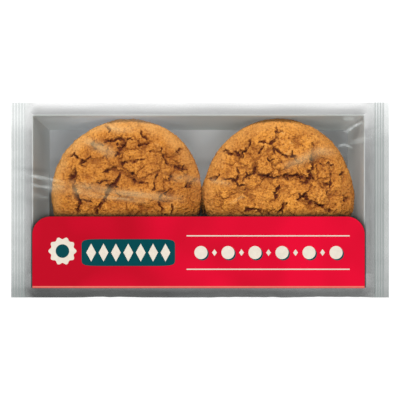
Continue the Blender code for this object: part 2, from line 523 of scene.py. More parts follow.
rightFissures = [
    (0.5, [(-1.5, 36.5), (-1.5, 31), (-5.5, 26.5)]),
    (0.7, [(-11, 28), (-7.5, 28), (-5.5, 26.5), (-1.5, 29)]),
    (0.8, [(-15, 30), (-17, 25.5), (-21, 21)]),
    (1.2, [(-29, 24), (-25.5, 21.5), (-21, 21)]),
    (0.6, [(-8.5, 25.5), (-11.5, 21.5)]),
    (0.9, [(-3, 25), (1, 21.5), (4.5, 19.5), (9.5, 20.5)]),
    (0.9, [(17.5, 27.5), (19, 25.5)]),
    (1.6, [(17, 21), (18, 15.5), (16.5, 8), (12, 5)]),
    (0.7, [(-6.5, 19.5), (-6, 17.5), (-2, 15.5), (1.5, 17.5)]),
    (1.2, [(-11.5, 17), (-14, 11.5), (-19.5, 7.5)]),
    (0.7, [(-22.5, 14), (-22, 11), (-23.5, 6)]),
    (1.0, [(-38, 8), (-33, 9)]),
    (1.1, [(-30, 8), (-26, 8), (-23, 6), (-20, 1.5)]),
    (1.6, [(-11.5, 10.3), (-4.5, 9), (-1.5, 8), (4, 10), (12.5, 9)]),
    (1.2, [(0.5, 4.5), (-2.5, 0.5), (-2, -2)]),
    (0.7, [(27.5, 11), (27.5, 2)]),
    (0.9, [(32, 10), (35, 11.5)]),
    (0.5, [(21.5, 16.5), (25.5, 15), (29, 15.5)]),
    (1.5, [(9, -3), (14, -1), (16, -4.5), (22.5, -6.5), (29, -10)]),
    (1.2, [(34.5, -3.5), (38, -3)]),
    (1.1, [(2, -4), (2.5, -7), (-1.5, -10.5)]),
    (1.1, [(-20, -9.5), (-16, -8), (-11, -8.5), (-5, -11)]),
]
frontFissures = [
    (1.2, [(-22, -19), (-15, -22), (-12, -29)]),
    (1.0, [(2, -18), (6, -24), (2, -31)]),
    (1.1, [(16, -17), (22, -22), (21, -29)]),
]
hiddenFissures = [
    (1.2, [(-25, 12), (-20, 4), (-22, -8)]),
    (1.0, [(-4, 27), (-8, 20), (-5, 12)]),
    (1.4, [(5, 5), (14, 8), (24, 4)]),
    (1.0, [(12, -12), (20, -18), (24, -27)]),
    (1.1, [(-12, -14), (-3, -18), (4, -27)]),
]


def bunProfile(rings):
    # radius and height of each ring from the top's middle down to the base, and which way it faces
    turn = np.linspace(0, math.pi, bunForm["profilePoints"])
    upper = turn <= math.pi / 2
    power = np.where(upper, bunForm["topRoundness"], bunForm["underRoundness"])
    radius = bunForm["radius"] * np.abs(np.sin(turn)) ** (2 / power)
    rise = np.where(upper, bunForm["thickness"] - bunForm["equator"], bunForm["equator"])
    height = bunForm["equator"] + rise * np.cos(turn)
    keep = upper | (radius > bunForm["baseRadius"])
    radius, height = radius[keep], height[keep]
    reach = np.concatenate([[0], np.cumsum(np.hypot(np.diff(radius), np.diff(height)))])
    widest = np.argmax(radius)
    shoulder = np.interp(bunForm["shoulderAt"] * bunForm["radius"], radius[:widest], reach[:widest])
    shares = np.linspace(0, 1, rings + 1)
    places = np.interp(shares, [0, bunForm["ringsOnTop"], 1], [0, shoulder, reach[-1]])
    outward = -np.interp(places, reach, np.gradient(height, reach))
    upward = np.interp(places, reach, np.gradient(radius, reach))
    size = np.hypot(outward, upward)
    return np.interp(places, reach, radius), np.interp(places, reach, height), outward / size, upward / size


def branched(fissures, seed):
    # the fissures and the short side cracks that leave them, thinner and turned away
    dice = np.random.default_rng(seed)
    bend = fissureForm["branchBend"]
    grown = list(fissures)
    for width, path in fissures:
        for start, end in zip(np.array(path[:-1], float), np.array(path[1:], float)):
            heading = math.atan2(*(end - start)[::-1])
            for _ in range(dice.poisson(math.dist(start, end) / fissureForm["branchEvery"])):
                root = start + (end - start) * dice.random()
                side = heading + dice.choice((-1, 1)) * dice.uniform(*fissureForm["branchTurn"])
                reach = dice.uniform(*fissureForm["branchLength"])
                middle = root + reach / 2 * np.array([math.cos(side), math.sin(side)])
                side += dice.uniform(-bend, bend)
                tip = middle + reach / 2 * np.array([math.cos(side), math.sin(side)])
                grown.append((width * dice.uniform(*fissureForm["branchWidth"]), [root, middle, tip]))
    return grown


def carve(x, y, ragged, broken, fissures):
    # depth of the fissures at each point, how scorched it is, how torn round about and their lips
    depth, scorch, torn, lip = np.zeros((4, len(x)))
    wallShare = fissureForm["wallShare"]
    scorchedWide, scorchedBeside = fissureForm["scorched"]
    tornBeside, tornWide = fissureForm["torn"]
    lipAway, lipWide = fissureForm["lip"]
    for width, path in fissures:
        away, along = pathDistance(x / mm, y / mm, path)
        ends = fadeEnds(along, fissureForm["endSlope"], fissureForm["endWidth"])
        uneven = fissureForm["half"] * ends * (1 + fissureForm["ragged"] * ragged)
        half = np.maximum(width * uneven, fissureForm["narrowest"])
        deepest = (fissureForm["depth"] + fissureForm["depthToWidth"] * width) * mm * broken
        wall = smoothStep(0, wallShare, 1 - away / (half + fissureForm["wallBeside"]))
        dark = smoothStep(0, wallShare, 1 - away / (scorchedWide * half + scorchedBeside))
        depth = np.maximum(depth, deepest * wall * ends)
        scorch = np.maximum(scorch, dark * broken)
        torn = np.maximum(torn, bell(away, half + tornBeside + tornWide * width) * ends)
        lip = np.maximum(lip, bell(away - half - lipAway, lipWide) * ends * broken)
    return depth, scorch, torn, lip


def shoveAbout(spot, seed):
    # what makes the edges of plates and fissures run unevenly
    shove = np.zeros_like(spot)
    for axis in (0, 1):
        for lump, reach in bunForm["shoves"]:
            shove[:, axis] += reach * mm * softNoise(spot, lump * mm, seed + 11 * axis + int(10 * lump))
    return shove


def plateRelief(spot, bent, seed):
    # steps from plate to plate, how near a plate's edge each point is, and fine cracks that wander
    steps, plates, hair = np.zeros((3, len(spot)))
    patchSize, none, full = bunForm["platePatches"]
    for size, high, half, strength in bunForm["plates"]:
        gap, height = crackedPlates(bent, size * mm, seed + int(21 * size))
        patches = smoothStep(none, full, softNoise(spot, patchSize * size * mm, seed + int(23 * size)))
        steps += high * mm * height * smoothStep(0, bunForm["stepWidth"], gap)
        edge = np.exp(-gap / (bunForm["plateSlope"] * size * mm))
        plates = np.maximum(plates, edge * strength * patches)
        hair = np.maximum(hair, smoothStep(0, 1, 1 - gap / (half * mm)) * strength * patches)
    patchSize, none, full = bunForm["wrinklePatches"]
    for size, half, strength in bunForm["wrinkles"]:
        patches = smoothStep(none, full, softNoise(spot, patchSize * size * mm, seed + int(31 * size)))
        # 1 in the middle of a line, where the noise crosses 0
        crossing = np.abs(softNoise(bent, size * mm, seed + int(47 * size))) / (1.3 * half / size)
        hair = np.maximum(hair, smoothStep(0, 1, 1 - crossing) * patches * strength)
    return steps, plates, hair


def crumbRelief(spot, seed):
    # round crumbs with sharp creases between them, from about -1 to 1
    total = np.zeros(len(spot))
    for k, (size, share) in enumerate(bunForm["crumbSizes"]):
        total += share * (np.abs(softNoise(spot, size * mm, seed + k)) / bunForm["crumbLevel"] - 1)
    return total


def faceOutwards(piece):
    pickAlone(piece)
    bpy.ops.object.mode_set(mode="EDIT")
    bpy.ops.mesh.select_all(action="SELECT")
    bpy.ops.mesh.normals_make_consistent(inside=False)
    bpy.ops.object.mode_set(mode="OBJECT")


def closeBase(bun):
    # the grid's border is the edge of the flat base: fill it and divide the fill from its middle
    pickAlone(bun)
    bpy.ops.object.mode_set(mode="EDIT")
    bpy.ops.mesh.select_mode(type="EDGE")
    bpy.ops.mesh.select_all(action="DESELECT")
    bpy.ops.mesh.select_non_manifold(extend=False)
    bpy.ops.mesh.edge_face_add()
    bpy.ops.mesh.select_mode(type="FACE")
    bpy.ops.mesh.poke()
    bpy.ops.object.mode_set(mode="OBJECT")


def makeBun(name, middle, base, turn, breadth, pale, toast, rings, fissures, seed, material):
    # a square grid is wrapped round the bun, and each square ring of it becomes a round one
    bun, angle, outwards = addRoundGrid(rings)
    ring = np.rint(outwards * rings).astype(int)
    ringRadius, ringHeight, ringOut, ringUp = bunProfile(rings)
    around = np.stack([np.cos(angle), np.sin(angle), 0 * angle + seed], 1)
    wanderReach, wanderSize = bunForm["edgeWander"]
    wander = wanderReach * softNoise(around, wanderSize, seed)
    for toward, reach, wide in bulges.get(name, []):
        away = (angle + turn - math.radians(toward) + math.pi) % (2 * math.pi) - math.pi
        wander += reach * mm * bell(away, math.radians(wide))
    radius = ringRadius[ring] + wander * ring / rings
    out, up = ringOut[ring], ringUp[ring]
    spot = np.stack([radius * np.cos(angle), radius * np.sin(angle), ringHeight[ring]], 1)
    shove = shoveAbout(spot, seed)
    moved = spot + shove
    bent = spot + bunForm["plateShove"] * shove
    topped = smoothStep(*bunForm["facingUp"], up)

    # the crust is smoother on the shoulder towards the back left, where the light comes from, and paler
    # there, partly its own pale crust and partly painted light; the edge opposite gets painted shade
    towards = 0.5 + 0.5 * np.cos(angle + turn - bunForm["litSide"])
    cracked = bunForm["crackedRadius"] - bunForm["smoothWidth"] * towards**2
    inner = smoothStep(*(cracked + fade for fade in bunForm["crackedFade"]), radius)
    hairs = mix(bunForm["hairOutside"], 1, inner)

    # fissures, plates, fine cracks, pits and crumbs
    ragged = softNoise(spot, fissureForm["raggedSize"] * mm, seed + 15)
    crumbSize, none, full = fissureForm["filled"]
    filled = smoothStep(none, full, softNoise(spot, crumbSize * mm, seed + 16))
    broken = mix(fissureForm["shallow"], 1, filled)
    carved = carve(moved[:, 0], moved[:, 1], ragged, broken, branched(fissures, seed))
    depth, scorch, torn, lip = (part * topped for part in carved)
    steps, plates, hair = plateRelief(spot, bent, seed)
    plates = plates * inner
    hair = hair * hairs * topped
    pitSize, none, full = bunForm["pits"]
    pits = smoothStep(none, full, softNoise(spot, pitSize, seed + 17)) * hairs * topped
    crumb = crumbRelief(bent, seed + 43)
    lumpSize, outside = bunForm["bumps"]
    lumps = softNoise(bent, lumpSize, seed + 42) * mix(outside, 1, inner)

    rise = bunForm["broadRise"] * softNoise(spot, bunForm["broadLumps"], seed + 41)
    rise += bunForm["bumpRise"] * lumps + steps * inner
    rise += bunForm["crumb"] * crumb * (mix(bunForm["crumbOutside"], 1, inner) + bunForm["crumbTorn"] * torn)
    rise += bunForm["lip"] * lip * (1 - scorch)
    rise -= bunForm["plateRise"] * plates + bunForm["tornDepth"] * torn
    rise -= bunForm["hairDepth"] * hair + bunForm["pitDepth"] * pits
    rise = np.minimum(rise - bunForm["sunk"] * inner - depth, bunForm["highest"])
    radius = radius + rise * out
    z = np.where(ring == rings, 0.0, np.maximum(ringHeight[ring] + rise * up, 0.0))
    x = middle[0] + breadth * radius * np.cos(angle + turn)
    y = middle[1] + breadth * radius * np.sin(angle + turn)
    writePoints(bun, np.stack([x, y, base + z], 1))

    relief = {"crumb": crumb, "lumps": lumps, "plates": plates, "torn": torn, "lip": lip}
    # painted shade on the outer edge away from the light
    edgeShade = bunForm["edgeShade"] * smoothStep(*bunForm["edgeShadeFrom"], radius) * (1 - towards)
    blotchSize, blotchReach = bunForm["paleBlotches"]
    blotch = blotchReach * softNoise(spot, blotchSize, seed + 51)
    paleEdge = smoothStep(*bunForm["paleFrom"], radius + blotch)
    # painted: relief shading, shade on the edge away from the light with each bun's own toast, and a paler
    # shoulder towards the light, partly its own pale crust
    paint(bun, {
        "fissure": scorch,
        "hairCrack": np.maximum(hair, bunForm["pitDark"] * pits),
        "hollow": 0.5 + sum(share * relief[part] for part, share in bunForm["hollows"].items()),
        "toastAndEdgeShade": edgeShade + toast * inner,
        "shoulder": pale * paleEdge * towards**1.3,
        "underside": smoothStep(*bunForm["underFrom"], ringHeight[ring]),
    })
    closeBase(bun)
    faceOutwards(bun)
    finishPiece(bun, name, "sealed_pack", material, smoothAngle=75)


# Bulges and dents of the upper buns' outlines: direction in degrees, how far in mm and how wide
bulges = {
    "bunLeftTop": [(40, 1.3, 32), (122, -0.8, 24), (0, 0.3, 20)],
    "bunRightTop": [(92, 0.5, 20), (24, -1.0, 18), (-3, 0.8, 15), (180, 1.0, 14)],
}

# Where the six buns lie: stack, shift from its middle in mm, level, turn, breadth, how pale the shoulder
# is on the side towards the light (partly painted light), how toasted the top is, cracks and seed. The
# lower ones are a little smaller and sit in from the sloping walls.
bunPlaces = [
    ("bunLeftTop", 0, (0, 0), 2, 0.0, 1.0, 0.75, 0.25, leftFissures + frontFissures, 5),
    ("bunRightTop", 1, (0, 0), 2, 0.0, 1.0, 0.30, 0.0, rightFissures + frontFissures, 9),
    ("bunLeftMiddle", 0, (1.1, -1.7), 1, 2.1, 0.99, 0.20, 0.1, hiddenFissures, 14),
    ("bunRightMiddle", 1, (-1.1, -1.9), 1, -1.2, 0.985, 0.20, 0.0, hiddenFissures, 23),
    ("bunLeftBase", 0, (-0.8, -3.6), 0, 0.9, 0.965, 0.20, 0.2, hiddenFissures, 31),
    ("bunRightBase", 1, (-3.3, -3.6), 0, 3.6, 0.96, 0.20, 0.1, hiddenFissures, 42),
]


def makeBuns():
    material = crustMaterial()
    for name, stack, shift, level, turn, breadth, pale, toast, fissures, seed in bunPlaces:
        rings = bunForm["topRings"] if level == pack["bunsHigh"] - 1 else bunForm["lowerRings"]
        base = pack["trayFloor"] + level * pack["bunThickness"] + bunForm["gapUnder"]
        middle = [start + part * mm for start, part in zip(pack["stacks"][stack], shift)]
        makeBun(name, middle, base, turn, breadth, pale, toast, rings, fissures, seed, material)
    print("Buns baked:", len(bunPlaces))


makeBuns()

# Tray: thermoformed polypropylene, grey with a satin shine. Its colours carry painted light and shade:
# the floor is painted lightest in the middle, darker towards the ends and in painted shade of the buns
# and the label towards the front; the walls and the rim get their own painted tones, lighter on the
# right end wall and beside the left stack.
tray = {
    "wallColour": "#d8dbd9",
    "wallLitRight": "#e9eae8",
    "wallLitLeft": "#e7ecf1",
    "rimColour": "#dee1df",
    "floorMiddle": "#f8fafc",
    "floorLeft": "#dbdddf",
    "floorRight": "#c8cacc",
    "floorFrontShade": "#59534b",
    "leftLitStretch": -45 * mm,  # middle of the stretch of wall beside the left stack that is painted lighter and cooler
    # first colour, then for each layer over it: what it reads, the mm where it starts and is full,
    # its share and its colour
    "layers": {
        "floor": ("floorMiddle", [
            ("X", -5, -75, 1.0, "floorLeft"),
            ("X", 10, 75, 1.0, "floorRight"),
            ("Y", 24, 2, 1.0, "floorFrontShade"),
        ]),
        "wall": ("wallColour", [
            ("X", 76, 83, 1.0, "wallLitRight"),
            ("fromLitStretch", 45, 5, 0.9, "wallLitLeft"),
        ]),
    },
    "throughShare": 0.48,  # light that the thin sheet lets through
    "roughness": 0.38,
    "ior": 1.49,
    "markSize": 12 * mm,  # drawing marks from the hot sheet
    "markHeight": 0.3 * mm,
    "rimWidth": 0.62 * mm,  # at the ends
    "longRimWidth": 1.0 * mm,
    "wall": 0.5 * mm,
    "cornerRadius": 0.8 * mm,
    "cornerSteps": 5,
    "footRadius": 1.5 * mm,
    "footGap": 0.1 * mm,  # under the tray
    "insideFoot": 0.5 * mm,
    "rimHigh": 0.22 * mm,
    "rimOut": 0.3 * mm,  # how far the rim stands out past the outer wall
    "filmCut": 0.35 * mm,  # how far it stays inside the film
    "wallSteps": 8,
}


def trayMaterial():
    material, tree = startMaterial("thermoformed polypropylene")
    where = addNode(tree, "ShaderNodeTexCoord").outputs["Object"]
    parts = addNode(tree, "ShaderNodeSeparateXYZ", {0: where})
    beside = addNode(tree, "ShaderNodeMath", {
        0: parts.outputs["X"], 1: tray["leftLitStretch"],
    }, operation="SUBTRACT")
    apart = addNode(tree, "ShaderNodeMath", {0: beside.outputs[0]}, operation="ABSOLUTE")
    sources = {"X": parts.outputs["X"], "Y": parts.outputs["Y"], "fromLitStretch": apart.outputs[0]}
    colours = {}
    # each place's colour changes along the tray: painted light and shade
    for place, (first, layers) in tray["layers"].items():
        colours[place] = linearColour(tray[first])
        for source, start, full, most, tint in layers:
            share = addNode(tree, "ShaderNodeMapRange", {
                "Value": sources[source], "From Min": start * mm, "From Max": full * mm, "To Max": most,
            })
            layer = addNode(tree, "ShaderNodeMix", {
                0: share.outputs[0], 6: colours[place], 7: linearColour(tray[tint]),
            }, data_type="RGBA")
            colours[place] = layer.outputs[2]
    colour = colours["floor"]
    # walls and rim get their own painted tones of light and shade
    for name, over in (("wall", colours["wall"]), ("rim", linearColour(tray["rimColour"]))):
        painted = addNode(tree, "ShaderNodeAttribute", attribute_name=name)
        layer = addNode(tree, "ShaderNodeMix", {
            0: painted.outputs["Fac"], 6: colour, 7: over,
        }, data_type="RGBA")
        colour = layer.outputs[2]
    marks = addNode(tree, "ShaderNodeTexNoise", {
        "Vector": where, "Scale": 1 / tray["markSize"], "Detail": 3.0,
    })
    bump = addNode(tree, "ShaderNodeBump", {
        "Height": marks.outputs["Fac"], "Distance": tray["markHeight"], "Strength": 0.5,
    })
    shader = addNode(tree, "ShaderNodeBsdfPrincipled", {
        "Base Color": colour,
        "Roughness": tray["roughness"],
        "IOR": tray["ior"],
        "Normal": bump.outputs[0],
    })
    through = addNode(tree, "ShaderNodeBsdfTranslucent", {"Color": colour})
    sheet = addNode(tree, "ShaderNodeMixShader", {
        0: tray["throughShare"], 1: shader.outputs[0], 2: through.outputs[0],
    })
    addNode(tree, "ShaderNodeOutputMaterial", {"Surface": sheet.outputs[0]})
    return material


def trayRings():
    # (length, depth, corner radius, height, wall share, rim share) of each ring: up the outside, over
    # the rim and down the inside
    foot, insideFoot = tray["footRadius"], tray["insideFoot"]
    corner, rimHigh = tray["cornerRadius"], tray["rimHigh"]
    wallShares = np.linspace(0, 1, tray["wallSteps"] + 1)[1:]
    top = pack["rimHeight"] - tray["filmCut"]
    rimFoot = top - rimHigh
    outerFloor = np.array([pack["floorLength"], pack["floorDepth"]]) - 2 * tray["filmCut"]
    outerRim = np.array([pack["rimLength"], pack["rimDepth"]]) - 2 * tray["filmCut"]
    rimWidths = np.array([tray["rimWidth"], tray["longRimWidth"]])
    rings = []
    for turn in np.linspace(0, math.pi / 2, 5):  # rounded foot
        size = outerFloor - 2 * foot * (1 - math.sin(turn))
        rings.append((*size, corner, tray["footGap"] + foot * (1 - math.cos(turn)), 1, 0))
    for share in wallShares:
        size = mix(outerFloor, outerRim - 2 * tray["rimOut"], share)
        rings.append((*size, corner, mix(foot, rimFoot, share), 1, 0))
    for turn in np.linspace(0, math.pi, 9):  # rolled rim, round on top
        size = outerRim - rimWidths * (1 - math.cos(turn))
        radius = corner + tray["rimWidth"] * (0.5 + 0.5 * math.cos(turn))
        rings.append((*size, radius, top - rimHigh * (1 - math.sin(turn)), 0, 1))
    innerRim = outerRim - 2 * rimWidths
    innerFloor = outerFloor - 2 * tray["wall"]
    innerFoot = pack["trayFloor"] + insideFoot
    for share in (0.01, *wallShares):  # the first ring keeps the rim's colour off the wall
        size = mix(innerRim, innerFloor, share)
        rings.append((*size, corner, mix(rimFoot, innerFoot, share), 1, 0))
    for turn in np.linspace(0, math.pi / 2, 4)[1:]:  # rounded inside the floor
        size = innerFloor - 2 * insideFoot * (1 - math.cos(turn))
        rings.append((*size, corner, innerFoot - insideFoot * math.sin(turn), 0, 0))
    return np.array(rings)


def makeTray():
    rings = trayRings()
    perCorner = tray["cornerSteps"] + 1

    def place(ring, slot):
        length, depth, radius, rise, wall, rim = rings[ring].T
        corner = slot // perCorner
        angle = math.pi / 2 * (corner + (slot % perCorner) / tray["cornerSteps"])
        sideX = np.where((corner == 0) | (corner == 3), 1, -1)
        sideY = np.where(corner < 2, 1, -1)
        x = pack["trayX"] + sideX * (length / 2 - radius) + radius * np.cos(angle)
        y = pack["trayY"] + sideY * (depth / 2 - radius) + radius * np.sin(angle)
        return np.stack([x, y, rise], 1), {"wall": wall, "rim": rim}

    piece = rollTube(len(rings), 4 * perCorner, place)
    faceOutwards(piece)
    finishPiece(piece, "bunTray", "sealed_pack", trayMaterial(), smoothAngle=50)
    print("Tray formed")


makeTray()

# Film: clear cast polypropylene, a closed tube pressed flat at both ends. It is nearly clear on top and
# whitish where the hot jaws crushed it. Beyond the tray it carries painted shade, standing in for the
# pack's shadow seen through it, darker towards the front.
film = {
    "sealRings": 42,
    "slopeRings": 18,
    "bodyRings": 236,
    "baseSlots": 40,
    "sideSlots": 30,
    "topSlots": 130,
    "rimShade": 0.33 * mm,  # how far the painted shade reaches in over the top, up to the tray's rim
    "rimStep": 0.12 * mm,  # width of the strip where it turns from painted shade to clear
    "sealThickness": 0.6 * mm,
    "crimpPitch": [1.6, 1.43],  # mm from line to line, on the left and right
    "crimpDepth": 0.12 * mm,
    "crimpStart": [1.5, 0.0],  # mm from the seal's inner edge to the first line
    "plain": [0.4, 2.4],  # mm past the last line
    "finWidth": 9.0 * mm,  # the tube's own seam, along the base
    "finFade": 0.6 * mm,
    "finPitch": 1.6 * mm,
    "finLine": 0.5,  # strength of its lines
    "noises": {  # squeeze along the pack, so less than 1 draws it out, then size and seed
        "slack": (1, 18 * mm, 63),
        "drawn": (0.25, 6 * mm, 62),
        "sag": (0.35, 12 * mm, 64),
        "fineSag": (1, 6 * mm, 65),
        "cloudy": (0.4, 14 * mm, 66),
    },
    "slackHeight": 0.08 * mm,
    "gatherHeight": 0.5 * mm,
    "sideSag": (0.1 * mm, 0.9 * mm),  # how far the sides sag in all along, and where the noise has it
    # milkiness of the top, the sides and the slopes at the ends: its noise, share and unevenness
    "milks": [("cloudy", 0.004, 1.2), ("sag", 0.04, 0.8), ("drawn", 0.05, 1.2)],
    "frontMilk": (1.6, 2.6),  # times that of the sides, at the front's left and right ends
    "sealMilk": 0.22,
    "slopePressed": (0, 0.25),  # how far the tube is pressed flat where the slope's comes in
    "sealPressed": (0.4, 1),
    "finMilk": 0.45,
    "creaseReach": (0.5, 0.35),  # of a crease's milkiness and of its height, to its width
    "strands": (1.5, 3),  # along and across a crease
    "streak": (1.3, 0.1, 1.6),  # strength, least and most
    "colour": "#e6ecea",
    "overBuns": "#eccf98",  # creases over the buns catch their warm light
    "warmFade": (0.5 * mm, -2 * mm),  # outside and inside the edge of a stack
    "shadow": "#151716",
    # darker, greener lines along the crimp ridges and the fin: painted shade of their ridges
    "line": "#82938f",
    "lineShare": 0.60,
    "lineShade": [0.24, 0.42],  # on the left and right
    "roughness": 0.08,
    "gloss": (0.015, 0.32),  # seen straight on and at a glance
    "glossPower": 4.0,
    "glossInShade": 0.05,
}

# Painted shade on the film beyond the tray, standing in for the pack's shadow seen through it: share of
# the light it takes away, at places from the back edge to the front
filmShade = {
    "places": [52, 44, 34, 20, -5, -31, -42, -46.6, -47.6, -52],
    "leftSeal": [0.09, 0.20, 0.33, 0.38, 0.44, 0.49, 0.62, 0.67, 0.76, 0.78],
    "rightSeal": [0.23, 0.42, 0.57, 0.645, 0.665, 0.685, 0.70, 0.72, 0.765, 0.785],
    "leftLean": 0.06,  # more at the left seal's inner edge, and less at its outer one
    "outermost": 0.09,  # less on the plain strip at the right end
    "outermostFrom": (-48 * mm, -25 * mm),
    "slope": [0.48, 0.14],  # what the strips beside the rim take away of the rest, left and right
    "slopeBack": 0.55,  # share of it that is left at the back
    "slopeFrom": (50 * mm, 36 * mm),
    "outward": [0.0, 0.21, 0.38, 0.55, 0.72, 0.89, 1.0],  # from the back rim to the pack's edge
    "back": [0.73, 0.62, 0.53, 0.41, 0.31, 0.18, 0.10],
    "cornerFade": 2.5 * mm,
    "front": [0.965, 0.895],  # at the left and right ends
    "uneven": 0.20,
    "most": 0.97,
    "lowSides": (0.72, 0.97),  # shares of the way down between which it fades on the sides
    "lowFade": 0.9,
    "foldReach": 0.5,  # of a dark fold, to its width
    "upperPly": 0.4,  # how much of it is in the upper of the two layers
    "plyTurn": (0.35, 0.65),
    # painted shadow of the label on the film beside its edge: darkness, reach in mm and sharpness
    "labelEdge": 0.9,
    "labelReach": 1.75,
    "labelPower": 1.3,
}

# Creases: width in mm, milkiness, height in mm and points in mm from the pack's middle. Their milkiness
# is a painted highlight for the light the creases catch; their height lifts the film.
creases = [
    (1.8, 0.27, 0.30, [(-101.5, 15.2), (-94.0, 13.6), (-85.0, 12.0), (-78.0, 10.6), (-69.0, 8.8)]),
    (1.7, 0.22, 0.25, [(-94.5, 9.6), (-86.6, 7.5), (-78.0, 6.2), (-70.0, 5.6)]),
    (2.6, 0.10, 0.10, [(-95.0, 4.5), (-86.0, 2.0), (-80.0, 1.0)]),
    (4.0, 0.22, 0.22, [(-76.5, 9.6), (-59.2, 6.6), (-45.3, 4.2), (-21.3, 1.6), (-6.0, 0.2)]),
    (2.4, 0.22, 0.15, [(-70.0, 6.0), (-57.0, 2.5), (-40.0, 0.5), (-26.0, -0.8)]),
    (6.5, 0.16, 0.10, [(-84.0, 8.4), (-72.0, 6.6), (-60.0, 4.0), (-54.0, 3.0)]),
    (4.0, 0.14, 0.10, [(-17.0, 11.5), (-8.0, 11.8), (1.0, 10.0)]),
    (5.0, 0.24, 0.18, [(-63.1, 33.0), (-54.0, 28.4), (-44.4, 23.6)]),
    (3.6, 0.20, 0.15, [(-53.0, 40.0), (-44.0, 37.6), (-35.0, 37.4)]),
    (5.0, 0.20, 0.20, [(43.0, 17.0), (54.3, 21.6), (64.0, 26.2), (74.7, 24.5)]),
    (3.0, 0.16, 0.12, [(4.1, 10.4), (10.9, 9.6), (18.0, 8.0)]),
    (1.4, 0.16, 0.12, [(15.6, -2.5), (20.0, 0.5), (24.5, 2.6)]),
    (1.3, 0.42, 0.30, [(76.8, 35.6), (83.0, 39.8), (87.4, 42.0)]),
    (2.6, 0.26, 0.22, [(79.5, 30.2), (84.6, 31.6), (92.8, 34.0), (98.0, 36.0)]),
    (1.1, 0.30, 0.20, [(72.4, 28.4), (77.0, 29.6), (82.0, 27.4)]),
    (2.2, 0.20, 0.15, [(75.8, 44.0), (79.0, 43.4), (82.6, 43.6)]),
    (1.1, 0.22, 0.15, [(87.7, -11.2), (91.0, -9.6), (94.0, -8.6)]),
    (7.0, 0.06, 0.10, [(-86.0, 42.0), (-50.0, 43.0), (-14.0, 42.5)]),
]

# Dark folds, drawn only as painted shade: width in mm, darkness and points
folds = [
    (2.6, 0.40, [(-102.0, 17.2), (-95.0, 16.8), (-88.0, 16.0), (-78.0, 15.0)]),
    (2.0, 0.25, [(-99.0, 11.0), (-92.0, 10.0), (-86.0, 9.0)]),
    (5.0, 0.22, [(-100.0, 2.0), (-92.0, 0.0), (-86.0, -1.5)]),
    (1.4, 0.40, [(76.0, 37.0), (83.0, 41.3), (88.0, 43.8)]),
    (2.4, 0.28, [(82.0, 34.0), (90.0, 38.0), (100.0, 41.0)]),
    (1.6, 0.20, [(90.0, 29.0), (98.0, 30.5)]),
]


def filmHeight(x, y):
    # flat over the rim, with a low dome over each stack
    dome = np.zeros(len(x))
    for middleX, middleY in pack["stacks"]:
        reach = np.hypot(x - middleX, y - middleY) / pack["bunRadius"]
        dome += np.maximum(0, 1 - reach**2) ** 1.5
    return pack["filmTop"] + pack["bunLift"] * dome


def filmStations():
    # x of each ring of the tube, from the left end to the right one
    end = pack["length"] / 2
    sealRoot = end - pack["sealWidth"]
    rimLeft = pack["trayX"] - pack["rimLength"] / 2
    rimRight = pack["trayX"] + pack["rimLength"] / 2
    shadeReach = film["rimShade"]
    clear = shadeReach + film["rimStep"]
    return np.concatenate([
        np.linspace(-end, -sealRoot, film["sealRings"], endpoint=False),
        np.linspace(-sealRoot, rimLeft, film["slopeRings"], endpoint=False),
        [rimLeft, rimLeft + shadeReach],
        np.linspace(rimLeft + clear, rimRight - clear, film["bodyRings"]),
        [rimRight - shadeReach],
        np.linspace(rimRight, sealRoot, film["slopeRings"], endpoint=False),
        np.linspace(sealRoot, end, film["sealRings"]),
    ])


def filmSlots():
    # panel (0 base, 1 back, 2 top, 3 front) and the value along it: y, or the share of the way down
    floorEdge, rimEdge = pack["floorDepth"] / 2, pack["rimDepth"] / 2
    down = 0.5 - 0.5 * np.cos(np.linspace(0, math.pi, film["sideSlots"], endpoint=False))
    base = np.linspace(-floorEdge, floorEdge, film["baseSlots"], endpoint=False) + pack["trayY"]
    shaded = rimEdge - film["rimShade"]
    clear = shaded - film["rimStep"]
    inside = np.linspace(clear, -clear, film["topSlots"])
    top = np.concatenate([[rimEdge, shaded], inside, [-shaded]]) + pack["trayY"]
    panels = [np.full(len(part), k) for k, part in enumerate((base, down, top, down))]
    return np.concatenate(panels), np.concatenate([base, 1 - down, top, down])


def intoSeal(x):
    return np.abs(x) - pack["length"] / 2 + pack["sealWidth"]


def crimpWave(x):
    # 1 in the middle of each line that the jaws pressed, -1 between them, and 0 off the lines
    into = intoSeal(x) / mm
    pitch = np.where(x < 0, *film["crimpPitch"])
    start = np.where(x < 0, *film["crimpStart"])
    last = pack["sealWidth"] / mm - np.where(x < 0, *film["plain"])
    lined = (into > start - pitch) & (into > -pitch / 2) & (into < last)
    return np.cos(2 * math.pi * (into - start) / pitch) * lined


def filmShape(x, panel, value):
    # place of each point, its share of the way down and how far it is pressed flat
    sign = np.where(panel == 1, 1.0, -1.0)
    down = np.where(panel == 0, 1.0, np.where(panel == 2, 0.0, value))
    rim = pack["trayY"] + sign * pack["rimDepth"] / 2
    floor = pack["trayY"] + sign * pack["floorDepth"] / 2
    wall = mix(rim, floor, down)
    belly = mix(wall, sign * pack["depth"] / 2, np.sin(math.pi * down))
    flat = (panel == 0) | (panel == 2)
    y = np.where(flat, value, belly)
    z = np.where(panel == 2, filmHeight(x, y), pack["filmTop"] * (1 - down))
    away = np.abs(x - pack["trayX"])
    start = mix(pack["rimLength"], pack["floorLength"], down) / 2
    end = pack["length"] / 2 - pack["sealWidth"] - np.sign(x - pack["trayX"]) * pack["trayX"]
    pressed = np.clip((away - start) / (end - start), 0, 1)
    ply = np.where(down < 0.5, 1.0, -1.0)
    thin = np.maximum(0, 1 - np.abs(y / (pack["depth"] / 2)) ** 4)
    ridges = -film["crimpDepth"] * crimpWave(x)
    sealed = pack["sealHeight"] + ply * film["sealThickness"] / 2 * thin + ridges
    return x, y, mix(z, sealed, pressed), down, pressed


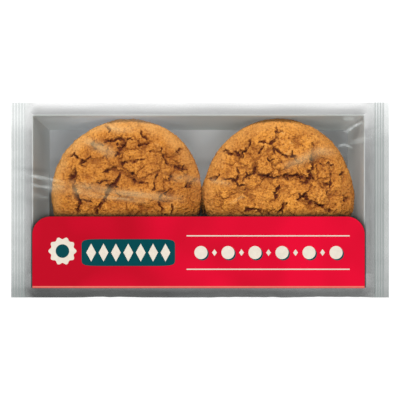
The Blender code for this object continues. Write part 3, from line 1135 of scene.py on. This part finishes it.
def filmNoise(points):
    noise = {}
    for name, (squeeze, size, seed) in film["noises"].items():
        noise[name] = softNoise(points * (squeeze, 1, 1), size, seed)
    noise["sag"] += 0.4 * noise["fineSag"]
    return noise


def filmMilk(x, y, panel, pressed, noise, fin):
    # milky share: the least on top, more where the tube is gathered and pressed
    sides = (panel == 1) | (panel == 3)
    front = np.where(y < 0, mix(*film["frontMilk"], np.clip(0.5 + x / pack["length"], 0, 1)), 1)
    top, side, slope = (share * (1 + uneven * noise[name]) for name, share, uneven in film["milks"])
    milk = np.maximum(top * (panel == 2), side * sides * front)
    milk = mix(milk, slope, smoothStep(*film["slopePressed"], pressed))
    milk = mix(milk, film["sealMilk"], smoothStep(*film["sealPressed"], pressed))
    return np.maximum(milk, film["finMilk"] * fin * (1 - pressed))


def creased(x, y, milk):
    # the milkiness of the top film with the painted highlight of its creases, and how far they lift it
    lift = np.zeros(len(x))
    milkReach, liftReach = film["creaseReach"]
    strandsAlong, strandsAcross = film["strands"]
    strength, least, most = film["streak"]
    for width, milky, high, route in creases:
        away, along = pathDistance(x / mm, y / mm, route)
        ends = fadeEnds(along)
        strand = [along * len(route) * strandsAlong, away / width * strandsAcross, 0 * away + width]
        streak = np.clip(1 + strength * softNoise(np.stack(strand, 1), 1.0, 67), least, most)
        milk = np.maximum(milk, milky * bell(away, milkReach * width) * ends * streak)
        lift += high * mm * bell(away, liftReach * width) * ends
    return milk, lift


def shadeBeyondTray(x, y, panel, pressed):
    # painted shade on the film beyond the tray, seen from above: the share of light it takes away, standing
    # in for the pack's shadow seen through it
    order = -np.array(filmShade["places"]) * mm
    left, right = (np.interp(-y, order, filmShade[side]) for side in ("leftSeal", "rightSeal"))
    outermost = x > pack["length"] / 2 - film["plain"][1] * mm
    right = right - filmShade["outermost"] * outermost * smoothStep(*filmShade["outermostFrom"], y)
    left = left + filmShade["leftLean"] * (1 - 2 * np.clip(intoSeal(x) / pack["sealWidth"], 0, 1))
    slopeBack = mix(filmShade["slopeBack"], 1, smoothStep(*filmShade["slopeFrom"], y))
    slope = np.where(x < 0, *filmShade["slope"]) * (1 - pressed) * slopeBack
    ends = together(np.where(x < 0, left, right), slope)
    rim = pack["rimDepth"] / 2
    beyond = (np.abs(y - pack["trayY"]) - rim) / (pack["depth"] / 2 - rim)
    back = np.interp(np.clip(beyond, 0, 1), filmShade["outward"], filmShade["back"])
    front = np.interp(x, [-pack["rimLength"] / 2, pack["rimLength"] / 2], filmShade["front"])
    long = np.where(y > 0, back, front) * (beyond > -0.3)  # the strips along the rim
    away = np.abs(x - pack["trayX"]) - pack["rimLength"] / 2
    past = smoothStep(-filmShade["cornerFade"], filmShade["cornerFade"], away)
    sides = (panel == 1) | (panel == 3)
    reach = film["rimShade"] + 0.01 * mm
    inside = (away < -reach) & (beyond < -reach / (pack["depth"] / 2 - rim))
    share = mix(long, ends, np.where(sides, past, away > -reach))
    return share * (1 - inside * (panel == 2))


def layerShade(x, y, panel, down, pressed, noise, line):
    # painted shade of one layer: what both lose together is split between the upper and the lower, with
    # the painted shade of the crimp lines, the dark folds and the label's edge
    lost = shadeBeyondTray(x, y, panel, pressed)
    uneven = 1 + filmShade["uneven"] * (noise["drawn"] + noise["cloudy"])
    lost = np.clip(1 - (1 - lost) * uneven, 0, filmShade["most"]) * (lost > 0)
    fade = filmShade["lowFade"] * smoothStep(*filmShade["lowSides"], down)
    lost = lost * (1 - fade * (panel != 0) * (1 - pressed))
    lost = lost * np.where((panel == 0) & (pressed == 0), 0.0, 1.0)
    # painted shade along the crimp lines
    lost = together(lost, np.where(x < 0, *film["lineShade"]) * line)
    # painted shade of the dark folds
    for width, dark, route in folds:
        away, along = pathDistance(x / mm, y / mm, route)
        lost = together(lost, dark * bell(away, filmShade["foldReach"] * width) * fadeEnds(along) * (down < 0.5))
    ply = mix(filmShade["upperPly"], 1 - filmShade["upperPly"], smoothStep(*filmShade["plyTurn"], down))
    # painted shadow of the label along its edge
    edge = np.maximum(labelEdge(x, y), 0) / mm
    near = filmShade["labelEdge"] * np.exp(-((edge / filmShade["labelReach"]) ** filmShade["labelPower"]))
    return together(1 - (1 - lost) ** ply, near * (panel == 2) * (pressed == 0))


def filmMaterial():
    material, tree = startMaterial("cast polypropylene film")
    painted = {}
    for name in ("haze", "crimpLine", "shade", "warm"):
        painted[name] = addNode(tree, "ShaderNodeAttribute", attribute_name=name).outputs["Fac"]
    colour = linearColour(film["colour"])
    # the film's colour gets painted warm light over the buns, painted shade beyond the tray and painted
    # shade along the crimp lines
    for name, tint in (("warm", "overBuns"), ("shade", "shadow"), ("crimpLine", "line")):
        layer = addNode(tree, "ShaderNodeMix", {
            0: painted[name], 6: colour, 7: linearColour(film[tint]),
        }, data_type="RGBA")
        colour = layer.outputs[2]
    milk = addNode(tree, "ShaderNodeBsdfPrincipled", {
        "Base Color": colour,
        "Roughness": 0.5,
        "Specular IOR Level": 0.0,
    })
    clear = addNode(tree, "ShaderNodeBsdfTransparent", {"Color": (1, 1, 1, 1)})
    body = addNode(tree, "ShaderNodeMixShader", {
        0: painted["haze"], 1: clear.outputs[0], 2: milk.outputs[0],
    })
    shine = addNode(tree, "ShaderNodeBsdfGlossy", {"Roughness": film["roughness"]})
    edge = addNode(tree, "ShaderNodeLayerWeight", {"Blend": 0.5})
    steep = addNode(tree, "ShaderNodeMath", {
        0: edge.outputs["Facing"], 1: film["glossPower"],
    }, operation="POWER")
    share = addNode(tree, "ShaderNodeMapRange", {
        "Value": steep.outputs[0], "To Min": film["gloss"][0], "To Max": film["gloss"][1],
    })
    dull = addNode(tree, "ShaderNodeMapRange", {
        "Value": painted["shade"], "To Min": 1.0, "To Max": film["glossInShade"],
    })
    gloss = addNode(tree, "ShaderNodeMath", {
        0: share.outputs[0], 1: dull.outputs[0],
    }, operation="MULTIPLY")
    whole = addNode(tree, "ShaderNodeMixShader", {
        0: gloss.outputs[0], 1: body.outputs[0], 2: shine.outputs[0],
    })
    addNode(tree, "ShaderNodeOutputMaterial", {"Surface": whole.outputs[0]})
    return material


def makeFilm():
    stations = filmStations()
    panels, values = filmSlots()

    def place(ring, slot):
        panel = panels[slot]
        x, y, z, down, pressed = filmShape(stations[ring], panel, values[slot])
        top = panel == 2
        sides = (panel == 1) | (panel == 3)
        noise = filmNoise(np.stack([x, y, z], 1))
        finEdge = film["finWidth"] / 2
        fin = smoothStep(finEdge + film["finFade"], finEdge, np.abs(y)) * (panel == 0)
        milk = filmMilk(x, y, panel, pressed, noise, fin)
        creasedMilk, lift = creased(x, y, milk)
        milk = np.where(top, creasedMilk, milk)
        wave = crimpWave(x)
        line = (0.5 + 0.5 * wave) ** 2 * (wave != 0)
        shaded = layerShade(x, y, panel, down, pressed, noise, line)
        haze = together(milk, shaded)
        nearest = np.min([np.hypot(x - stackX, y - stackY) for stackX, stackY in pack["stacks"]], axis=0)
        warm = smoothStep(*(pack["bunRadius"] + fade for fade in film["warmFade"]), nearest) * top
        finWave = 0.5 + 0.5 * np.cos(2 * math.pi * x / film["finPitch"])
        painted = {
            "haze": haze,
            "shade": shaded * (1 - milk) / np.maximum(haze, 0.001),
            "crimpLine": film["lineShare"] * np.maximum(line, film["finLine"] * fin * finWave),
            "warm": warm,
        }
        # the top is slack and creased, the ends are gathered and the sides sag in
        between = 4 * pressed * (1 - pressed)
        slack = film["slackHeight"] * (1 + noise["slack"])
        z = z + film["gatherHeight"] * noise["drawn"] * between * (panel != 0)
        z = z + (slack + lift) * top * (1 - pressed)
        everywhere, uneven = film["sideSag"]
        belly = np.sin(math.pi * down) * sides * (1 - pressed)
        y = y - np.sign(y) * belly * np.maximum(0, everywhere + uneven * noise["sag"])
        return np.stack([x, y, z], 1), painted

    tube = rollTube(len(stations), len(panels), place)
    finishPiece(tube, "clearFilm", "sealed_pack", filmMaterial(), smoothAngle=55)
    print("Film wrapped")


# Label: glossy coated paper printed red, with cream and teal shapes. Its red carries painted shade,
# darker in soft patches and towards the left end, and a salmon line along its front edge is a painted
# highlight.
label = {
    "columns": 190,
    "straightRows": 30,
    "cornerRows": 18,
    "corner": 9.6 * mm,
    "thickness": 0.4 * mm,
    "gap": 0.3 * mm,
    "endCut": 0.3 * mm,  # how far it stops short of the solid's ends
    "red": "#d6062e",
    "deepRed": "#b0051f",
    "cream": "#dbd2c3",
    "teal": "#004349",
    # painted highlight along the label's front edge
    "salmonHighlight": "#dc7365",
    "patchSize": 30 * mm,  # patches of deeper red: painted shade of soft wrinkles over the label
    "rightward": (-60 * mm, 35 * mm, -0.31, 0.165),  # from, to and what is added to the patches there: painted shade, darker towards the left end and lighter towards the right
    "patchRange": (0.21, 0.71),  # deep red below it and red above it
    "fibreSize": 0.8 * mm,
    "fibreHeight": 0.02 * mm,
    "roughness": 0.35,
    "shine": 0.08,
    "inkRoughness": 0.45,
    "inkShine": 0.06,
    "inkGrain": 2 * mm,  # screened ink is a little uneven
    "inkThickness": 0.02 * mm,
    "tealLift": 0.02 * mm,
    "creamLift": 0.06 * mm,
    "centreLift": 0.10 * mm,
}
labelMiddle = (labelHigh.x + labelLow.x) / 2
labelHalf = (labelHigh.x - labelLow.x) / 2 - label["endCut"]


def labelTop(x, y):
    return filmHeight(x, y) + label["gap"] + label["thickness"]


def labelEdge(x, y):
    # how far outside the label's outline each point lies, and less than 0 inside it
    radius = label["corner"]
    outX = np.maximum(np.abs(x - labelMiddle) - labelHalf + radius, 0)
    outY = np.maximum(y - labelHigh.y + radius, 0)
    return np.hypot(outX, outY) - radius


def labelMaterial():
    material, tree = startMaterial("coated label paper")
    where = addNode(tree, "ShaderNodeTexCoord").outputs["Object"]
    # the red is painted darker in soft patches and towards the left end: painted shade over the ink
    patches = addNode(tree, "ShaderNodeTexNoise", {
        "Vector": where, "Scale": 1 / label["patchSize"], "Detail": 1.0,
    })
    along = addNode(tree, "ShaderNodeSeparateXYZ", {0: where}).outputs["X"]
    start, full, leftTone, rightTone = label["rightward"]
    rightward = addNode(tree, "ShaderNodeMapRange", {
        "Value": along, "From Min": start, "From Max": full, "To Min": leftTone, "To Max": rightTone,
    })
    tone = addNode(tree, "ShaderNodeMath", {
        0: patches.outputs["Fac"], 1: rightward.outputs[0],
    }, operation="ADD")
    deepest, plainest = label["patchRange"]
    share = addNode(tree, "ShaderNodeMapRange", {
        "Value": tone.outputs[0], "From Min": deepest, "From Max": plainest,
    })
    ink = addNode(tree, "ShaderNodeMix", {
        0: share.outputs[0], 6: linearColour(label["deepRed"]), 7: linearColour(label["red"]),
    }, data_type="RGBA")
    fibres = addNode(tree, "ShaderNodeTexNoise", {
        "Vector": where, "Scale": 1 / label["fibreSize"], "Detail": 2.0,
    })
    bump = addNode(tree, "ShaderNodeBump", {
        "Height": fibres.outputs["Fac"], "Distance": label["fibreHeight"], "Strength": 0.6,
    })
    shader = addNode(tree, "ShaderNodeBsdfPrincipled", {
        "Base Color": ink.outputs[2],
        "Roughness": label["roughness"],
        "Specular IOR Level": label["shine"],
        "Normal": bump.outputs[0],
    })
    addNode(tree, "ShaderNodeOutputMaterial", {"Surface": shader.outputs[0]})
    return material


def inkMaterial(name, colour):
    # screen ink: opaque and satin, a little thinner here and there
    material, tree = startMaterial(name)
    where = addNode(tree, "ShaderNodeTexCoord").outputs["Object"]
    grain = addNode(tree, "ShaderNodeTexNoise", {
        "Vector": where, "Scale": 1 / label["inkGrain"], "Detail": 3.0,
    })
    share = addNode(tree, "ShaderNodeMapRange", {
        "Value": grain.outputs["Fac"], "From Min": 0.3, "From Max": 0.7, "To Min": 0.9, "To Max": 1.0,
    })
    ink = addNode(tree, "ShaderNodeMix", {
        0: share.outputs[0], 6: (0, 0, 0, 1), 7: linearColour(colour),
    }, data_type="RGBA")
    shader = addNode(tree, "ShaderNodeBsdfPrincipled", {
        "Base Color": ink.outputs[2],
        "Roughness": label["inkRoughness"],
        "Specular IOR Level": label["inkShine"],
    })
    addNode(tree, "ShaderNodeOutputMaterial", {"Surface": shader.outputs[0]})
    return material


def makeLabel():
    rows = label["straightRows"] + label["cornerRows"]
    sheet, flat = addGrid(label["columns"], rows)
    row = np.rint((flat[:, 1] + 1) / 2 * rows)
    turn = math.pi / 2 * np.clip((row - label["straightRows"]) / label["cornerRows"], 0, 1)
    straight = (labelHigh.y - label["corner"] - labelLow.y) * np.clip(row / label["straightRows"], 0, 1)
    x = labelMiddle + (labelHalf - label["corner"] * (1 - np.cos(turn))) * flat[:, 0]
    y = labelLow.y + straight + label["corner"] * np.sin(turn)
    writePoints(sheet, np.stack([x, y, labelTop(x, y)], 1))
    thicken(sheet, label["thickness"])
    finishPiece(sheet, "frontLabel", "front_label", labelMaterial())
    print("Label laid")


def layInk(shape, x, y, lift):
    # places in mm, each brought up to the label's top
    x, y = x * mm, y * mm
    writePoints(shape, np.stack([x, y, labelTop(x, y) + lift + label["inkThickness"]], 1))
    thicken(shape, label["inkThickness"])
    return shape


def inkShape(middle, outline, lift, cells=12):
    # a small round grid is drawn out to an outline, given as its reach in each direction
    shape, angle, outwards = addRoundGrid(cells)
    reach = outline(angle) * outwards
    return layInk(shape, middle[0] + reach * np.cos(angle), middle[1] + reach * np.sin(angle), lift)


def inkBar(middle, length, width, lift):
    # a long thin bar, in steps of about 2 mm to follow the label
    bar, flat = addGrid(max(2, int(length / 2)), 2)
    x = middle[0] + flat[:, 0] * length / 2
    return layInk(bar, x, middle[1] + flat[:, 1] * width / 2, lift)


def plainOutline(wide, high, power):
    # a lozenge where power is 1, a disc where it is 2, and from there on to a rounded rectangle
    def reach(angle):
        across, along = np.abs(np.cos(angle)) * 2 / wide, np.abs(np.sin(angle)) * 2 / high
        return (across**power + along**power) ** (-1 / power)

    return reach


def rosetteOutline(size, petals, depth):
    return lambda angle: size / 2 * (1 - depth * np.sin(petals / 2 * angle) ** 2)


# Printed shapes: places and sizes in mm from the pack's middle
printed = {
    "rosette": (-73.3, -27.2),
    "rosetteShape": (15.0, 10, 0.16),  # size, petals and how deep the notches are
    "rosetteCentre": (7.2, 7.2),
    "plaque": (-38.2, -28.0),
    "plaqueSize": (49.9, 14.4),
    "plaquePower": 9.0,
    "plaqueMarks": 7,
    "plaquePitch": 6.6,
    "plaqueMark": (5.2, 9.6),
    "discs": 6,
    "discSize": (7.0, 7.0),
    "discRow": (36.5, -28.0),
    "discPitch": 14.4,
    "shadowShift": (0.7, -0.7),
    "betweenMark": (2.6, 3.6),
    "ruleLength": 86.9,
    "ruleMiddle": 36.3,
    "ruleRows": (-19.1, -36.9),
    "ruleWidth": 0.60,
    "highlightLine": -46.3,
    "edgeWidth": 0.8,
    "edgeCut": 0.1,  # how far it stops short of the label's ends
}


def rowOf(count, middle, pitch):
    return [middle + (k - (count - 1) / 2) * pitch for k in range(count)]


def joinInk(shapes, name, colour):
    deselectAll()
    for shape in shapes:
        shape.select_set(True)
    bpy.context.view_layer.objects.active = shapes[0]
    if len(shapes) > 1:
        bpy.ops.object.join()
    material = inkMaterial(colour + " screen ink", label[colour])
    finishPiece(shapes[0], name, "front_label", material)


def makePrint():
    dark, light = label["tealLift"], label["creamLift"]
    cream = [inkShape(printed["rosette"], rosetteOutline(*printed["rosetteShape"]), light)]
    centre = plainOutline(*printed["rosetteCentre"], 2)
    plaque = plainOutline(*printed["plaqueSize"], printed["plaquePower"])
    teal = [
        inkShape(printed["rosette"], centre, label["centreLift"]),
        inkShape(printed["plaque"], plaque, dark, cells=24),
    ]
    mark = plainOutline(*printed["plaqueMark"], 1)
    for x in rowOf(printed["plaqueMarks"], printed["plaque"][0], printed["plaquePitch"]):
        cream.append(inkShape((x, printed["plaque"][1]), mark, light))
    disc = plainOutline(*printed["discSize"], 2)
    shiftX, shiftY = printed["shadowShift"]
    middle, y = printed["discRow"]
    for x in rowOf(printed["discs"], middle, printed["discPitch"]):
        teal.append(inkShape((x + shiftX, y + shiftY), disc, dark))
        cream.append(inkShape((x, y), disc, light))
    mark = plainOutline(*printed["betweenMark"], 1)
    for x in rowOf(printed["discs"] - 1, middle, printed["discPitch"]):
        cream.append(inkShape((x, y), mark, light, cells=4))
    for y in printed["ruleRows"]:
        cream.append(inkBar((printed["ruleMiddle"], y), printed["ruleLength"], printed["ruleWidth"], light))
    # a salmon line along the label's front edge: a painted highlight of that edge
    length = 2 * (labelHalf / mm - printed["edgeCut"])
    edge = inkBar((labelMiddle / mm, printed["highlightLine"]), length, printed["edgeWidth"], dark)
    joinInk(cream, "creamPrint", "cream")
    joinInk(teal, "tealPrint", "teal")
    joinInk([edge], "edgeHighlightPrint", "salmonHighlight")
    print("Print laid")


makeFilm()
makeLabel()
makePrint()
